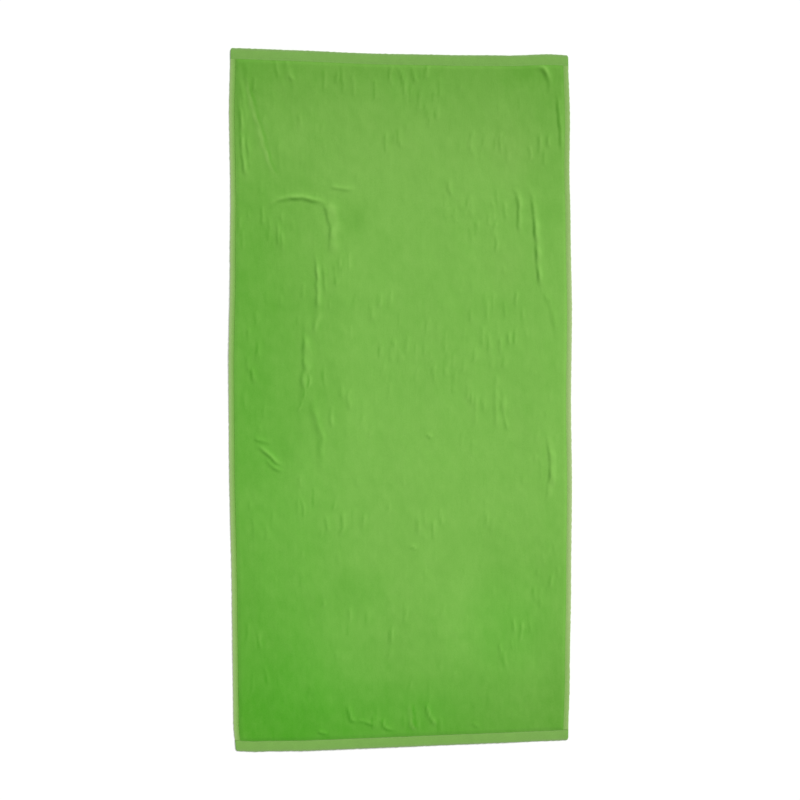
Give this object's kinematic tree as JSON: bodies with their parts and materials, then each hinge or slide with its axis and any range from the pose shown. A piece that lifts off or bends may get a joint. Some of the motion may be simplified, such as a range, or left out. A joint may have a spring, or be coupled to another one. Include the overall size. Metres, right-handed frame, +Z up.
{
  "type": "towel",
  "caption": "Flat rectangular hemmed towel for drying off, with a sheared velour face, a looped terry back and hems turned under twice and lockstitched on all sides.",
  "frame": {"origin": "middle of the towel's underside, on the surface that it lies on", "axes": "+X across the width, +Y along the length towards the top edge as pictured, +Z up out of the velour face"},
  "size_m": [0.75, 1.53, 0.004],
  "materials": {
    "velour": "green sheared velour pile, soft matt sheen",
    "ground_weave": "green plain weave base cloth, matt",
    "terry": "green looped terry pile, matt",
    "hem_weave": "lighter green flat woven hem, matt",
    "sewing_thread": "green spun polyester sewing thread, slight sheen"
  },
  "bodies": {
    "root": {"face_velour_pile": "velour", "ground_cloth": "ground_weave", "back_terry_pile": "terry", "top_hem": "hem_weave", "top_needle_thread": "sewing_thread", "top_bobbin_thread": "sewing_thread", "left_hem": "hem_weave", "left_needle_thread": "sewing_thread", "left_bobbin_thread": "sewing_thread", "bottom_hem": "hem_weave", "bottom_needle_thread": "sewing_thread", "bottom_bobbin_thread": "sewing_thread", "right_hem": "hem_weave", "right_needle_thread": "sewing_thread", "right_bobbin_thread": "sewing_thread"}
  },
  "joints": []
}
